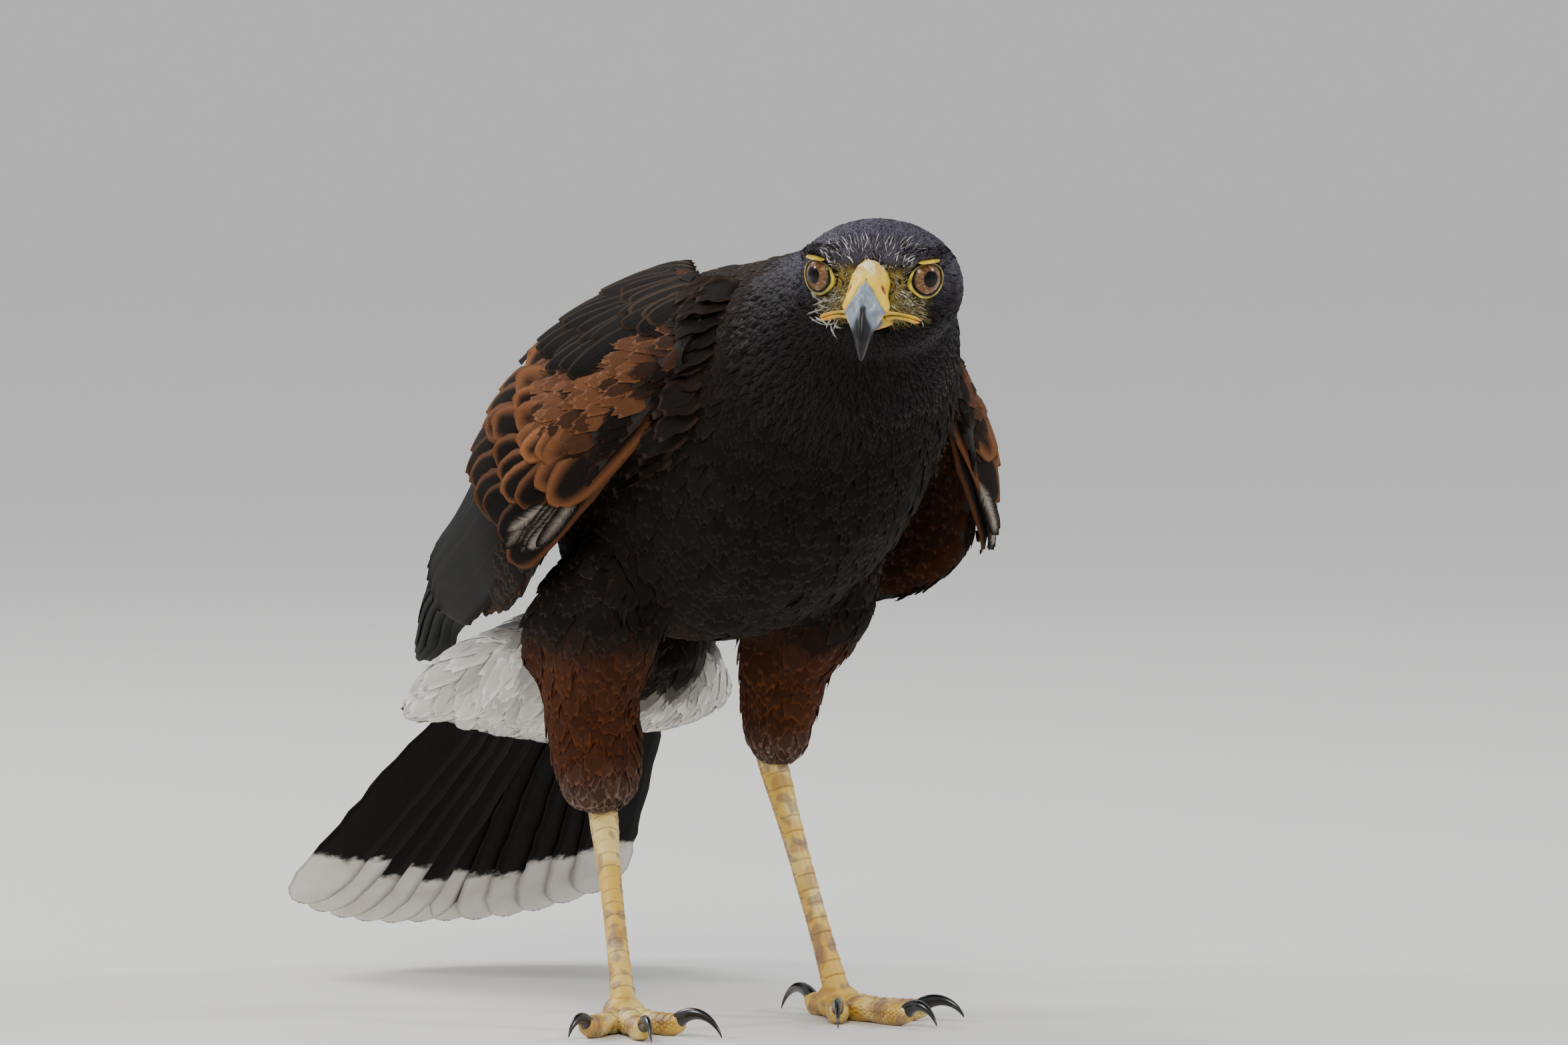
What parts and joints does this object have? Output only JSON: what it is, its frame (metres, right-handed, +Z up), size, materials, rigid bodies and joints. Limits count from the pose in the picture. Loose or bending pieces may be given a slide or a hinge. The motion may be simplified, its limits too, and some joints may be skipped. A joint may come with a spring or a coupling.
{
  "type": "harris hawk",
  "caption": "Life-size Harris's hawk standing on its toes, leaning forward with drooped wings, spread tail and head turned to its right; a still model.",
  "frame": {"origin": "on the floor, under the middle of the bird's overall box", "axes": "+Z up; the body faces -Y, the tail points to +Y, and the bird's own left side is +X"},
  "size_m": [0.181, 0.4296, 0.2775],
  "materials": {
    "plumage": "matte, dark chocolate-brown body feathers with paler edges",
    "rufous": "matte, chestnut shoulder and thigh feathers",
    "white": "matte, white feathers under and over the tail base",
    "flight": "satin, near-black flight and tail feathers",
    "horn": "satin, blue-grey horn with a black tip",
    "cere": "satin, bare yellow skin at the base of the bill",
    "skin": "satin, scaled yellow skin of the legs",
    "claw": "glossy, black horn",
    "eye": "wet, amber-brown iris with a black pupil"
  },
  "bodies": {
    "root": {"head": "plumage", "eye_right": "eye", "eye_left": "eye", "bill_upper": "horn", "cere": "cere", "bill_lower": "cere", "neck": "plumage", "torso": "plumage", "wing_right": "rufous", "wing_left": "rufous", "tail": "flight", "undertail_coverts": "white", "uppertail_coverts": "white", "thigh_right": "rufous", "tarsus_right": "skin", "foot_right": "skin", "claw_right_inner": "claw", "claw_right_middle": "claw", "claw_right_outer": "claw", "claw_right_hind": "claw", "thigh_left": "rufous", "tarsus_left": "skin", "foot_left": "skin", "claw_left_inner": "claw", "claw_left_middle": "claw", "claw_left_outer": "claw", "claw_left_hind": "claw"}
  },
  "joints": []
}
